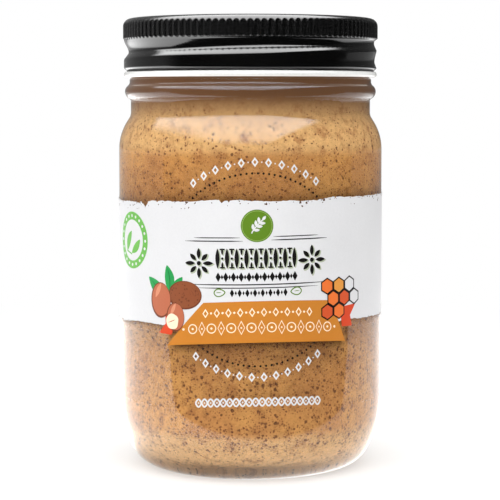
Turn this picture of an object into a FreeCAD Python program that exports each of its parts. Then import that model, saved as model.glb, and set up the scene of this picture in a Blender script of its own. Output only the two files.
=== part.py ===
"""Almond butter in a round glass jar with a screw lid and a clear wrap label.

The jar stands on the ring under its base.  Z points up the jar's axis, the origin is
the centre of that ring's plane, and -Y is the front of the label.  All sizes are
millimetres and live in the Dims spreadsheet.
"""
import FreeCAD, Part
import math
import os
import re
import Sketcher

FULL_TURN = 360.0
TINY = 1e-9

# alias, value, what it is
DIMENSIONS = [
    ("bodyRadius", 37.5, "outside radius of the straight wall"),
    ("wall", 3.0, "glass thickness of the straight wall"),
    ("footInset", 11.1, "how far the foot ring's edge lies inside the wall"),
    ("footWidth", 2.4, "width of the flat of the foot ring"),
    ("heelArc", 8.4, "radius of the tight curve beside the foot ring"),
    ("heelTurn", 26.2, "slope of the heel where its two curves meet, degrees off vertical"),
    ("pushUp", 1.6, "rise of the underside inside the foot ring"),
    ("pushUpRun", 4.0, "radial run of the rise inside the foot ring"),
    ("floorHeight", 5.4, "height of the inside floor"),
    ("floorArc", 12.0, "radius of the inside corner between floor and wall"),
    ("shoulderArc", 15.0, "radius of the shoulder's convex curve"),
    ("shoulderTurn", 32.5, "steepest slope of the shoulder, degrees off vertical"),
    ("waistArc", 3.0, "radius of the curve from shoulder into waist"),
    ("waistTall", 3.7, "height of the straight waist under the bead"),
    ("rimHeight", 126.3, "height of the glass rim"),
    ("rimArc", 0.9, "radius of the rim's two edges"),
    ("neckRadius", 33.0, "outside radius of the neck between the threads"),
    ("neckWall", 2.4, "glass thickness of the neck and mouth"),
    ("boreArc", 6.0, "radius of the inside curve from shoulder into neck"),
    ("waistStep", 1.1, "how far the waist stands out from the neck"),
    ("beadStep", 2.75, "how far the bead under the lid stands out from the neck"),
    ("beadDrop", 3.65, "distance from the collar's top down to the bead's widest point"),
    ("beadArc", 2.2, "radius of the bead's round face"),
    ("collarStep", 1.4, "how far the collar between bead and thread stands out from the neck"),
    ("collarGap", 0.32, "distance from the lid's lower edge down to the collar's top"),
    ("threadPitch", 5.08, "rise of the screw thread in one turn"),
    ("threadProud", 1.35, "how far the glass thread stands out of the neck"),
    ("threadHalf", 1.15, "half height of the glass thread at its root"),
    ("threadSpare", 1.2, "plain neck between the glass thread's end and the rim's edge"),
    ("headSpace", 9.3, "distance from the rim down to the level of the nut butter"),
    ("fitGap", 0.02, "clearance between pieces that touch"),
    ("lidSheet", 0.3, "thickness of the lid's metal"),
    ("lidHeight", 16.6, "height of the lid"),
    ("cornerArc", 2.2, "radius of the lid's top corner"),
    ("panelInset", 5.7, "how far the sunk middle of the lid lies inside its edge"),
    ("panelDrop", 0.5, "depth of the sunk middle of the lid"),
    ("knurlStep", 0.2, "how far the knurled band stands out from the skirt"),
    ("knurlTall", 5.8, "distance from the lid's top to the lower end of the knurls"),
    ("knurlSheet", 0.6, "metal between bore and crest in the knurled band"),
    ("knurlArc", 1.1, "radius of one knurl's hollow"),
    ("knurlBite", 0.3, "depth of one knurl's hollow"),
    ("knurlCount", 120, "knurls around the lid"),
    ("ribGap", 1.2, "clearance between the lid's thread rib and the neck"),
    ("grooveArc", 1.6, "radius of the rolled thread groove's section"),
    ("grooveBite", 1.5, "depth of the rolled thread groove"),
    ("grooveRise", 4.2, "height of the groove's lower end above the lid's lower edge"),
    ("grooveSpare", 0.25, "plain skirt between the groove's upper end and the knurls"),
    ("curlArc", 0.85, "radius of the rolled lower edge"),
    ("tuckStep", 0.9, "how far the skirt tucks in above the rolled edge"),
    ("labelInset", 0.6, "bare wall left above and below the label"),
    ("labelFilm", 0.12, "thickness of the label's film"),
    ("labelGap", 6.0, "width of the bare strip where the label's ends stop at the back"),
]


def addSheet(doc):
    """Writes every driving dimension into the Dims spreadsheet."""
    sheet = doc.addObject("Spreadsheet::Sheet", "Dims")
    for row, (alias, number, meaning) in enumerate(DIMENSIONS, start=1):
        sheet.set(f"A{row}", meaning)
        sheet.set(f"B{row}", str(number))
        sheet.setAlias(f"B{row}", alias)
    doc.recompute()
    return sheet


def dims(expression):
    """Turns each driving dimension's name in an expression into its spreadsheet address."""
    return re.sub(r"[A-Za-z]+", lambda word: ADDRESSES.get(word[0], word[0]), expression)


ADDRESSES = {alias: "Dims." + alias for alias, number, meaning in DIMENSIONS}


def newBody(doc, label):
    body = doc.addObject("PartDesign::Body", label)
    body.Label = label
    return body


def originPlane(body, role):
    return next(item for item in body.Origin.OriginFeatures if item.Role == role)


def arcCentre(start, end, radius, side):
    """The centre of the arc of this radius from start to end; side +1 has it on the left."""
    middle = (start + end) * 0.5
    chord = end - start
    rise = math.sqrt(max(radius * radius - chord.Length ** 2 / 4.0, 0.0))
    left = FreeCAD.Vector(-chord.y, chord.x, 0).normalize()
    return middle + left * (side * rise)


def drawOutline(body, name, steps):
    """Draws a closed outline in the body's XZ plane, its corners and arcs bound to Dims.

    Each step is (radius, height) for a straight run to that point, or
    (radius, height, arc radius, side) for an arc to it, centred left (+1) or right (-1).
    """
    sketch = body.newObject("Sketcher::SketchObject", name)
    sketch.AttachmentSupport = [(originPlane(body, "XZ_Plane"), "")]
    sketch.MapMode = "FlatFace"
    steps = [(dims(step[0]), dims(step[1])) + tuple(step[2:]) for step in steps]
    points = [FreeCAD.Vector(float(sketch.evalExpression(step[0])),
                             float(sketch.evalExpression(step[1])), 0) for step in steps]
    ends = []
    arcs = []
    for index, step in enumerate(steps):
        start, end = points[index - 1], points[index]
        if len(step) == 2:
            edge = sketch.addGeometry(Part.LineSegment(start, end), False)
            ends.append((edge, 1, 2))
            continue
        arcSize, side = dims(step[2]), step[3]
        radius = float(sketch.evalExpression(arcSize))
        centre = arcCentre(start, end, radius, side)
        first, last = (start, end) if side > 0 else (end, start)
        circle = Part.Circle(centre, FreeCAD.Vector(0, 0, 1), radius)
        angles = [math.atan2(point.y - centre.y, point.x - centre.x) for point in (first, last)]
        edge = sketch.addGeometry(Part.ArcOfCircle(circle, angles[0], angles[1]), False)
        ends.append((edge, 1, 2) if side > 0 else (edge, 2, 1))
        arcs.append((edge, radius, arcSize))
    for index, (edge, startEnd, farEnd) in enumerate(ends):
        before, beforeStart, beforeFar = ends[index - 1]
        sketch.addConstraint(Sketcher.Constraint("Coincident", before, beforeFar, edge, startEnd))
    for index, (edge, startEnd, farEnd) in enumerate(ends):
        pinPoint(sketch, edge, farEnd, points[index], steps[index])
    for edge, radius, arcSize in arcs:
        number = sketch.addConstraint(Sketcher.Constraint("Radius", edge, radius))
        sketch.setExpression(f"Constraints[{number}]", arcSize)
    return sketch


def pinPoint(sketch, edge, end, point, step):
    """Ties one end of an edge to its distances from the sketch's two axes."""
    for kind, place, axis, expression in (("DistanceX", point.x, -2, step[0]),
                                          ("DistanceY", point.y, -1, step[1])):
        if abs(place) < TINY:
            sketch.addConstraint(Sketcher.Constraint("PointOnObject", edge, end, axis))
            continue
        number = sketch.addConstraint(Sketcher.Constraint(kind, -1, 1, edge, end, place))
        sketch.setExpression(f"Constraints[{number}]", expression)


def revolve(body, sketch, name, turn=None):
    """Turns a sketch about the jar's axis, all the way round or by a bound angle."""
    feature = body.newObject("PartDesign::Revolution", name)
    feature.Profile = sketch
    feature.ReferenceAxis = (sketch, ["V_Axis"])
    feature.Angle = FULL_TURN
    if turn:
        feature.Midplane = True
        feature.setExpression("Angle", dims(turn))
    return feature


def addHelix(body, kind, sketch, name, turns):
    """Carries a sketch up the screw thread about the jar's axis."""
    feature = body.newObject(kind, name)
    feature.Profile = sketch
    feature.ReferenceAxis = (sketch, ["V_Axis"])
    feature.Mode = "pitch-turns-angle"
    feature.setExpression("Pitch", dims("threadPitch"))
    feature.setExpression("Turns", dims(turns))
    feature.Reversed = False
    feature.LeftHanded = False
    return feature


# places that several pieces share
boreRadius = "(neckRadius - neckWall)"
waistRadius = "(neckRadius + waistStep)"
beadRadius = "(neckRadius + beadStep)"
collarRadius = "(neckRadius + collarStep)"
ringRadius = "(bodyRadius - footInset)"
heelEdge = f"({ringRadius} + heelArc * cos(heelTurn))"
heelLow = "(heelArc * (1 - sin(heelTurn)))"
heelSweep = f"((bodyRadius - {heelEdge}) / (1 - cos(heelTurn)))"
heelTop = f"({heelLow} + {heelSweep} * sin(heelTurn))"
lidTop = "(rimHeight + fitGap + lidSheet + panelDrop)"
lidBase = f"({lidTop} - lidHeight)"
collarTop = f"({lidBase} - collarGap)"
beadHeight = f"({collarTop} - beadDrop)"
beadCentre = f"({beadRadius} - beadArc)"
beadLow = f"({beadHeight} - sqrt(beadArc ^ 2 - ({waistRadius} - {beadCentre}) ^ 2))"
beadTop = f"({beadHeight} + sqrt(beadArc ^ 2 - ({collarRadius} - {beadCentre}) ^ 2))"
waistBase = f"({beadLow} - waistTall)"
waistEdge = f"({waistRadius} + waistArc * (1 - cos(shoulderTurn)))"
waistLow = f"({waistBase} - waistArc * sin(shoulderTurn))"
shoulderCentre = "(bodyRadius - shoulderArc)"
shoulderEdge = f"({shoulderCentre} + shoulderArc * cos(shoulderTurn))"
shoulderTop = f"({waistLow} - ({shoulderEdge} - {waistEdge}) / tan(shoulderTurn))"
shoulderBase = f"({shoulderTop} - shoulderArc * sin(shoulderTurn))"
skirtRadius = "(neckRadius + ribGap + lidSheet + grooveBite)"
lidRadius = f"({skirtRadius} + knurlStep)"
skirtTop = f"({lidTop} - knurlTall)"
grooveBase = f"({lidBase} + grooveRise)"
grooveTurns = f"(({skirtTop} - grooveSpare - grooveArc - {grooveBase}) / threadPitch)"
threadBase = f"({grooveBase} + threadPitch / 2)"
threadTurns = f"((rimHeight - rimArc - threadSpare - threadHalf - {threadBase}) / threadPitch)"


def insideSteps(gap, top):
    """The inside of the glass from its mouth down to its floor, or a filling this gap inside it."""
    wide = f"(bodyRadius - wall - {gap})"
    arc = f"(shoulderArc - wall - {gap})"
    edge = f"({shoulderCentre} + {arc} * cos(shoulderTurn))"
    low = f"({shoulderBase} + {arc} * sin(shoulderTurn))"
    neck = f"({boreRadius} - {gap})"
    bend = f"(boreArc + {gap})"
    neckEdge = f"({neck} + {bend} * (1 - cos(shoulderTurn)))"
    neckLow = f"({low} + ({edge} - {neckEdge}) / tan(shoulderTurn))"
    corner = f"(floorArc - {gap})"
    floor = f"(floorHeight + {gap})"
    return [
        (neck, top),
        (neck, f"{neckLow} + {bend} * sin(shoulderTurn)"),
        (neckEdge, neckLow, bend, 1),
        (edge, low),
        (wide, shoulderBase, arc, -1),
        (wide, f"{floor} + {corner}"),
        (f"{wide} - {corner}", floor, corner, -1),
        ("0", floor),
    ]


def makeJar(doc):
    """The glass: foot ring, two-curve heel, wall, shoulder, waist, bead and threaded neck."""
    body = newBody(doc, "glass_jar")
    rimEdge = "(rimHeight - rimArc)"
    outside = [
        ("0", "pushUp"),
        (f"{ringRadius} - footWidth - pushUpRun", "pushUp"),
        (f"{ringRadius} - footWidth", "0"),
        (ringRadius, "0"),
        (heelEdge, heelLow, "heelArc", 1),
        ("bodyRadius", heelTop, heelSweep, 1),
        ("bodyRadius", shoulderBase),
        (shoulderEdge, shoulderTop, "shoulderArc", 1),
        (waistEdge, waistLow),
        (waistRadius, waistBase, "waistArc", -1),
        (waistRadius, beadLow),
        (collarRadius, beadTop, "beadArc", 1),
        (collarRadius, collarTop),
        ("neckRadius", f"{collarTop} + collarStep"),
        ("neckRadius", rimEdge),
        ("neckRadius - rimArc", "rimHeight", "rimArc", 1),
        (f"{boreRadius} + rimArc", "rimHeight"),
        (boreRadius, rimEdge, "rimArc", 1),
    ]
    inside = insideSteps("0", rimEdge)[1:]
    revolve(body, drawOutline(body, "glassOutline", outside + inside), "glassTurned")
    ridge = [
        ("neckRadius - threadProud / 2", f"{threadBase} - threadHalf"),
        ("neckRadius", f"{threadBase} - threadHalf"),
        ("neckRadius + threadProud", f"{threadBase} - threadHalf / 2"),
        ("neckRadius + threadProud", f"{threadBase} + threadHalf / 4"),
        ("neckRadius", f"{threadBase} + threadHalf"),
        ("neckRadius - threadProud / 2", f"{threadBase} + threadHalf"),
    ]
    ridgeSketch = drawOutline(body, "threadOutline", ridge)
    addHelix(body, "PartDesign::AdditiveHelix", ridgeSketch, "glassThread", threadTurns)
    return body


def makeButter(doc):
    """The nut butter, which fills the glass up to a level under the lid."""
    body = newBody(doc, "almond_butter")
    fillHeight = "(rimHeight - headSpace)"
    steps = [("0", fillHeight)] + insideSteps("fitGap", fillHeight)
    revolve(body, drawOutline(body, "butterOutline", steps), "butterTurned")
    return body


def addThreadGroove(body):
    """Rolls the screw thread into the skirt: a rib inside it, then the groove outside."""
    centre = f"({skirtRadius} + grooveArc - grooveBite)"
    ribArc = "(grooveArc + lidSheet)"
    meet = f"({skirtRadius} - lidSheet / 2)"
    halfRib = f"sqrt({ribArc} ^ 2 - ({centre} - {meet}) ^ 2)"
    rib = [
        (meet, f"{grooveBase} + {halfRib}"),
        (f"{centre} - {ribArc}", grooveBase, ribArc, 1),
        (meet, f"{grooveBase} - {halfRib}", ribArc, 1),
    ]
    ribSketch = drawOutline(body, "ribOutline", rib)
    addHelix(body, "PartDesign::AdditiveHelix", ribSketch, "threadRib", grooveTurns)
    groove = [
        (f"{centre} + grooveArc", f"{grooveBase} + grooveArc"),
        (centre, f"{grooveBase} + grooveArc"),
        (centre, f"{grooveBase} - grooveArc", "grooveArc", 1),
        (f"{centre} + grooveArc", f"{grooveBase} - grooveArc"),
    ]
    grooveSketch = drawOutline(body, "grooveOutline", groove)
    addHelix(body, "PartDesign::SubtractiveHelix", grooveSketch, "threadGroove", grooveTurns)


def addKnurls(body):
    """Cuts one upright hollow from the skirt's top to past the lid's, and repeats it round the lid."""
    sketch = body.newObject("Sketcher::SketchObject", "knurlOutline")
    sketch.AttachmentSupport = [(originPlane(body, "XY_Plane"), "")]
    sketch.MapMode = "FlatFace"
    sketch.setExpression("AttachmentOffset.Base.z", dims(skirtTop))
    place, size = dims(f"{lidRadius} + knurlArc - knurlBite"), dims("knurlArc")
    centre, radius = (float(sketch.evalExpression(text)) for text in (place, size))
    circle = Part.Circle(FreeCAD.Vector(centre, 0, 0), FreeCAD.Vector(0, 0, 1), radius)
    edge = sketch.addGeometry(circle, False)
    sketch.addConstraint(Sketcher.Constraint("PointOnObject", edge, 3, -1))
    number = sketch.addConstraint(Sketcher.Constraint("DistanceX", -1, 1, edge, 3, centre))
    sketch.setExpression(f"Constraints[{number}]", place)
    number = sketch.addConstraint(Sketcher.Constraint("Radius", edge, radius))
    sketch.setExpression(f"Constraints[{number}]", size)

    hollow = body.newObject("PartDesign::Pocket", "knurlHollow")
    hollow.Profile = sketch
    hollow.Reversed = True
    hollow.setExpression("Length", dims("knurlTall + knurlArc"))
    knurls = body.newObject("PartDesign::PolarPattern", "knurls")
    knurls.Originals = [hollow]
    knurls.Axis = (sketch, ["N_Axis"])
    knurls.Angle = FULL_TURN
    knurls.setExpression("Occurrences", dims("knurlCount"))
    body.Tip = knurls


def makeLid(doc):
    """The one-piece metal lid: sunk panel, knurled band, rolled thread and curled edge."""
    body = newBody(doc, "lid")
    panelTop = f"({lidTop} - panelDrop)"
    panelUnder = f"({panelTop} - lidSheet)"
    panelRadius = f"({lidRadius} - panelInset)"
    knurlBore = f"({lidRadius} - knurlSheet)"
    boreCorner = "(cornerArc - knurlSheet)"
    skirtBore = f"({skirtRadius} - lidSheet)"
    tuckRadius = f"({skirtRadius} - tuckStep)"
    tuckBore = f"({tuckRadius} - lidSheet)"
    curlMiddle = f"({lidBase} + curlArc)"
    curlRadius = f"({skirtRadius} - curlArc)"
    curlTop = f"({curlMiddle} + sqrt(curlArc ^ 2 - ({tuckRadius} - {curlRadius}) ^ 2))"
    curlIn = f"({curlMiddle} + sqrt(curlArc ^ 2 - ({curlRadius} - {tuckBore}) ^ 2))"
    tuckTop = f"({curlTop} + tuckStep)"
    shell = [
        ("0", panelUnder),
        (f"{knurlBore} - {boreCorner}", panelUnder),
        (knurlBore, f"{panelUnder} - {boreCorner}", boreCorner, -1),
        (knurlBore, skirtTop),
        (skirtBore, skirtTop),
        (skirtBore, tuckTop),
        (tuckBore, curlIn),
        (curlRadius, lidBase, "curlArc", 1),
        (skirtRadius, curlMiddle, "curlArc", 1),
        (tuckRadius, curlTop, "curlArc", 1),
        (skirtRadius, tuckTop),
        (skirtRadius, skirtTop),
        (lidRadius, f"{skirtTop} + knurlStep"),
        (lidRadius, f"{lidTop} - cornerArc"),
        (f"{lidRadius} - cornerArc", lidTop, "cornerArc", 1),
        (f"{panelRadius} + panelDrop", lidTop),
        (panelRadius, panelTop),
        ("0", panelTop),
    ]
    revolve(body, drawOutline(body, "lidOutline", shell), "lidTurned")
    addThreadGroove(body)
    addKnurls(body)
    return body


def makeLabel(doc):
    """The clear film label, wrapped round the straight wall with its ends at the back."""
    body = newBody(doc, "label")
    inner = "(bodyRadius + fitGap)"
    outer = f"({inner} + labelFilm)"
    base = f"({heelTop} + labelInset)"
    top = f"({shoulderBase} - labelInset)"
    film = [(inner, base), (outer, base), (outer, top), (inner, top)]
    turn = f"360 - 360 * labelGap / (2 * pi * {inner})"
    revolve(body, drawOutline(body, "labelOutline", film), "labelTurned", turn)
    quarterBack = FreeCAD.Rotation(FreeCAD.Vector(0, 0, 1), -90)
    body.Placement = FreeCAD.Placement(FreeCAD.Vector(), quarterBack)
    return body


def checkDocument(doc, parts):
    """Stops if an object failed, a feature changed nothing or a sub-part's shape is unusable."""
    for item in doc.Objects:
        if "Invalid" in item.State or "Error" in item.State:
            raise RuntimeError(f"{item.Name} failed: {item.State} {item.getStatusString()}")
    adds = {"glassThread": 1, "threadRib": 1, "threadGroove": -1, "knurlHollow": -1, "knurls": -1}
    for name, sign in adds.items():
        feature = doc.getObject(name)
        if sign * (feature.Shape.Volume - feature.BaseFeature.Shape.Volume) <= 0:
            raise RuntimeError(f"{name} leaves the solid as it was")
    for body in parts:
        if body.Shape.isNull() or not body.Shape.isValid() or len(body.Shape.Solids) != 1:
            raise RuntimeError(f"{body.Label} is not one valid solid")


def main():
    doc = FreeCAD.newDocument("almondButterJar")
    addSheet(doc)
    parts = [makeJar(doc), makeButter(doc), makeLid(doc), makeLabel(doc)]
    doc.recompute()
    checkDocument(doc, parts)
    os.makedirs("parts", exist_ok=True)
    for body in parts:
        body.Shape.exportStep(f"parts/{body.Label}.step")
        box = body.Shape.BoundBox
        print(body.Label, "volume", round(body.Shape.Volume), "mm3, from", round(box.ZMin, 2), "to", round(box.ZMax, 2))


main()
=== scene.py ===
import math
import bpy
import numpy as np
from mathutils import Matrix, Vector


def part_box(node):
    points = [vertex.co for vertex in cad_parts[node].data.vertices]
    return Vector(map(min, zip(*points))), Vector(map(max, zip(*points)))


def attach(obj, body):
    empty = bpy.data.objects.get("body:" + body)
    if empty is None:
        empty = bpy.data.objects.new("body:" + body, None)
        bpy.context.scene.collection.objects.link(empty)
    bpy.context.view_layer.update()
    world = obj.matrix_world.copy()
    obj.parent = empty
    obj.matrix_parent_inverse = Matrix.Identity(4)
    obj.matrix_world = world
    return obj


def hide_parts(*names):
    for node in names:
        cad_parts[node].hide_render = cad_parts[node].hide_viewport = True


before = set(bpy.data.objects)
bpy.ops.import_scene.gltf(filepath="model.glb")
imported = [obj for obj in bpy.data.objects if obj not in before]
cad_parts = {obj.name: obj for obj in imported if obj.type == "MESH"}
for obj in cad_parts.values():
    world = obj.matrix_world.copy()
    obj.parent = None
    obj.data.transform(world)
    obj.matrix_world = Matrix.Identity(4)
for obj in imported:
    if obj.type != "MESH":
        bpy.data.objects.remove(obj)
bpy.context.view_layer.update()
scene = bpy.context.scene
mm = 0.001
tau = 2 * math.pi
poleRadius = 0.4                     # millimetres: first ring of points about a pole of a turned outline
print("frame loaded")


def cosStep(low, high, value):
    # 0 below low, 1 above high, and a smooth cubic rise between them
    share = np.clip((value - low) / (high - low), 0, 1)
    return share * share * (3 - 2 * share)


def gridFaces(rows, columns, closed, pole, lastPole, start):
    # quads between neighbours of a rows x columns grid; a closed grid joins its last column to its first
    # (and "both" its rows too), and a pole turns the end of the grid into a fan about one point
    body = np.arange(rows * columns).reshape(rows, columns) + start
    wide = np.concatenate([body, body[:, :1]], axis=1) if closed else body
    wide = np.concatenate([wide, wide[:1]]) if closed == "both" else wide
    quads = np.stack([wide[:-1, :-1], wide[:-1, 1:], wide[1:, 1:], wide[1:, :-1]], axis=-1).reshape(-1, 4)
    fans = []
    count = rows * columns
    if pole:
        tip = np.full(wide.shape[1] - 1, start + count)
        fans.append(np.stack([tip, wide[0, 1:], wide[0, :-1]], axis=-1))
        count += 1
    if lastPole:
        tip = np.full(wide.shape[1] - 1, start + count)
        fans.append(np.stack([tip, wide[-1, :-1], wide[-1, 1:]], axis=-1))
        count += 1
    return quads, fans, count


def meshPiece(name, grids, material, smooth=True):
    # joins grids of points into one mesh; each grid is (points, closed, first pole, last pole)
    places, quads, fans, start = [], [], [], 0
    for points, closed, pole, lastPole in grids:
        gridQuads, gridFans, count = gridFaces(points.shape[0], points.shape[1], closed,
                                               pole is not None, lastPole is not None, start)
        places.append(points.reshape(-1, 3))
        places += [np.reshape(tip, (1, 3)) for tip in (pole, lastPole) if tip is not None]
        quads.append(gridQuads)
        fans += gridFans
        start += count
    places = np.concatenate(places)
    quads = np.concatenate(quads)
    fans = np.concatenate(fans) if fans else np.zeros((0, 3), int)
    corners = np.concatenate([quads.ravel(), fans.ravel()])
    sizes = np.concatenate([np.full(len(quads), 4), np.full(len(fans), 3)])
    mesh = bpy.data.meshes.new(name)
    mesh.vertices.add(len(places))
    mesh.vertices.foreach_set("co", places.astype(np.float32).ravel())
    mesh.loops.add(len(corners))
    mesh.loops.foreach_set("vertex_index", corners.astype(np.int32))
    mesh.polygons.add(len(sizes))
    mesh.polygons.foreach_set("loop_start", (np.cumsum(sizes) - sizes).astype(np.int32))
    mesh.polygons.foreach_set("loop_total", sizes.astype(np.int32))
    mesh.polygons.foreach_set("use_smooth", np.full(len(sizes), smooth))
    mesh.update(calc_edges=True)
    mesh.validate()
    mesh.materials.append(material)
    piece = bpy.data.objects.new(name, mesh)
    scene.collection.objects.link(piece)
    return piece


def turn(profile, columns, spread=None):
    # the profile's (radius, height) rows carried round the axis; spread gives the columns' own angles
    angle = np.arange(columns) / columns * tau if spread is None else spread
    radius = profile[:, :1] * np.ones_like(angle)
    height = profile[:, 1:2] * np.ones_like(angle)
    return angle, radius, height


def toRound(angle, radius, height):
    # x, y and z in metres from an angle about the axis and a radius and height in millimetres
    parts = np.broadcast_arrays(radius * np.cos(angle), radius * np.sin(angle), height)
    return np.stack(parts, axis=-1) * mm


def run(start, end, count):
    # a straight run of points in (radius, height)
    return np.linspace(start, end, count)


def arc(centre, radius, first, last, count):
    # points on a circle about the centre, from the first angle to the last, in degrees
    angle = np.radians(np.linspace(first, last, count))
    return np.stack([centre[0] + radius * np.cos(angle), centre[1] + radius * np.sin(angle)], axis=-1)


def joined(*runs):
    # one profile, where each run starts at the point that ends the run before it
    profile = np.concatenate(runs)
    apart = np.linalg.norm(np.diff(profile, axis=0), axis=1) > 1e-6
    return profile[np.concatenate([[True], apart])]


def belongs(piece, slot, *nodes):
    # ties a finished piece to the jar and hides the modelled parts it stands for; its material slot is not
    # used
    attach(piece, "root")
    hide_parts(*nodes)
    return piece


def addNode(tree, kind, sockets=None, **settings):
    # one node with its settings; a socket value is linked and any other value is set on the input
    item = tree.nodes.new(kind)
    for key, value in settings.items():
        setattr(item, key, value)
    for key, value in (sockets or {}).items():
        if isinstance(value, bpy.types.NodeSocket):
            tree.links.new(value, item.inputs[key])
        else:
            item.inputs[key].default_value = value
    return item


def calc(tree, operation, first, second=0.0, third=0.0):
    # one step of arithmetic on one or more values
    return addNode(tree, "ShaderNodeMath", {0: first, 1: second, 2: third}, operation=operation).outputs[0]


def ramp(tree, value, low, high, fromLevel=0.0, toLevel=1.0):
    # a smooth rise of a value from one level to another
    return addNode(tree, "ShaderNodeMapRange",
                   {"Value": value, "From Min": low, "From Max": high,
                    "To Min": fromLevel, "To Max": toLevel},
                   interpolation_type="SMOOTHSTEP").outputs["Result"]


def blend(tree, factor, first, second):
    # a mix of two colours
    item = addNode(tree, "ShaderNodeMix", {0: factor, 6: first, 7: second}, data_type="RGBA")
    return item.outputs[2]


def mixValue(tree, share, first, second):
    # a value part of the way from the first to the second
    return addNode(tree, "ShaderNodeMix", {0: share, 2: first, 3: second}, data_type="FLOAT").outputs[0]


def product(tree, *values):
    # several values multiplied together
    total = values[0]
    for value in values[1:]:
        total = calc(tree, "MULTIPLY", total, value)
    return total


def heightOf(tree, place):
    # the height of a place, in metres
    return addNode(tree, "ShaderNodeSeparateXYZ", {"Vector": place}).outputs["Z"]


def noise(tree, place, scale, **more):
    # a cloud of values between 0 and 1
    return addNode(tree, "ShaderNodeTexNoise", {"Vector": place, "Scale": scale, **more}).outputs["Fac"]


def bumpOf(tree, height, strength, distance):
    # the surface's direction once a height has shaped it
    return addNode(tree, "ShaderNodeBump",
                   {"Height": height, "Strength": strength, "Distance": distance}).outputs[0]


def grained(tree, grain, gloss, **more):
    # a shader that takes its tone and roughness from a grain
    return addNode(tree, "ShaderNodeBsdfPrincipled",
                   {"Base Color": grain["Tone"], "Roughness": grain["Roughness"],
                    "Specular IOR Level": gloss, **more})


def surface(tree, output, shader):
    # sends a shader to the material's surface
    tree.links.new(shader.outputs[0], output.inputs["Surface"])


def rgb(red, green, blue):
    # a colour written 0 to 255 as screens show it, turned into light: the inverse of the screen's curve
    shown = np.array([red, green, blue]) / 255
    light = np.where(shown <= 0.04045, shown / 12.92, ((shown + 0.055) / 1.055) ** 2.4)
    return (*[float(part) for part in light], 1.0)


def newMaterial(name):
    # an empty material with its output, and the piece's own coordinates to paint by
    material = bpy.data.materials.new(name)
    material.use_nodes = True
    tree = material.node_tree
    tree.nodes.clear()
    output = tree.nodes.new("ShaderNodeOutputMaterial")
    place = tree.nodes.new("ShaderNodeTexCoord").outputs["Object"]
    return material, tree, output, place


def newGroup(name, inputs, outputs):
    # a node group with named sockets, each (name, socket type, default)
    group = bpy.data.node_groups.new(name, "ShaderNodeTree")
    for label, kind, value in inputs:
        socket = group.interface.new_socket(label, in_out="INPUT", socket_type=kind)
        if value is not None:
            socket.default_value = value
    for label, kind in outputs:
        group.interface.new_socket(label, in_out="OUTPUT", socket_type=kind)
    return group, group.nodes.new("NodeGroupInput").outputs, group.nodes.new("NodeGroupOutput").inputs


def useGroup(tree, group, **sockets):
    # places a node group; a socket value is linked and any other value is set on the input
    item = tree.nodes.new("ShaderNodeGroup")
    item.node_tree = group
    for key, value in sockets.items():
        if isinstance(value, bpy.types.NodeSocket):
            tree.links.new(value, item.inputs[key])
        else:
            item.inputs[key].default_value = value
    return item.outputs


def makeGrainGroup():
    # a colour that drifts a little lighter and darker: colour x (1 + amount x (two noises - 1)),
    # with a roughness that drifts with it and a fine height
    group, given, result = newGroup(
        "surfaceGrain",
        [("Place", "NodeSocketVector", None), ("Tone", "NodeSocketColor", (0.5, 0.5, 0.5, 1)),
         ("Amount", "NodeSocketFloat", 0.1), ("Coarse", "NodeSocketFloat", 60.0),
         ("Fine", "NodeSocketFloat", 900.0), ("Roughness", "NodeSocketFloat", 0.3),
         ("Spread", "NodeSocketFloat", 0.05)],
        [("Tone", "NodeSocketColor"), ("Roughness", "NodeSocketFloat"), ("Height", "NodeSocketFloat")])
    coarse = noise(group, given["Place"], given["Coarse"], Detail=3.0)
    fine = noise(group, given["Place"], given["Fine"], Detail=2.0)
    both = calc(group, "ADD", coarse, fine)
    drift = calc(group, "SUBTRACT", both, 1.0)
    gain = calc(group, "MULTIPLY_ADD", drift, given["Amount"], 1.0)
    tone = addNode(group, "ShaderNodeVectorMath", {0: given["Tone"], 3: gain}, operation="SCALE").outputs[0]
    group.links.new(tone, result["Tone"])
    roughness = calc(group, "MULTIPLY_ADD", drift, given["Spread"], given["Roughness"])
    group.links.new(roughness, result["Roughness"])
    group.links.new(fine, result["Height"])
    return group


grainGroup = makeGrainGroup()


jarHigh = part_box("glass_jar")[1]
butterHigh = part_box("almond_butter")[1]
lidLow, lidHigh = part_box("lid")
labelLow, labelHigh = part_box("label")

jar = {
    "body": jarHigh.x / mm,          # outside radius of the wall
    "wall": 3.0,
    "rim": jarHigh.z / mm,           # height of the mouth
    "foot": 26.4,                    # outer edge of the foot ring
    "footWide": 2.4,
    "pushUp": 1.6,
    "pushRun": 4.0,
    "heelArc": 8.4,
    "heelTurn": 26.2,
    "floor": 5.4,
    "floorArc": 12.0,
    "shoulderArc": 15.0,
    "shoulderTurn": 32.5,
    "waistArc": 3.0,
    "waistTall": 3.7,
    "neck": 33.0,
    "neckWall": 2.4,
    "boreArc": 6.0,
    "waistStep": 1.1,
    "beadStep": 2.75,
    "beadDown": 19.75,
    "beadArc": 2.2,
    "collarStep": 1.4,
    "collarDown": 16.1,
    "rimArc": 0.9,
    "threadPitch": 5.08,
    "threadProud": 1.35,
    "threadHalf": 1.3,
    "threadLow": 117.26,             # height of the thread's lower end
    "threadTurns": 1.1,
    "threadFade": 0.12,              # share of a turn over which each of its ends falls away
    "columns": 400,
    "softCorner": 0.5,               # rounding of the foot ring's edges
    "neckDown": 14.6,                # from the rim down to where the plain neck begins
    "beadSweep": (-68, 56),          # lowest and highest turn of the bead's round face, degrees
    "cornerNear": 0.12,              # how far the hollow corners at the bead are eased
    "cornerFar": 0.35,
    "cornerDrop": 0.1,
    "cornerOut": 0.16,
    "bevel": 0.15,                   # easing of the collar's corners
}


def bent(name):
    # a turn of the outline as its cosine and sine
    angle = math.radians(jar[name])
    return math.cos(angle), math.sin(angle)


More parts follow.
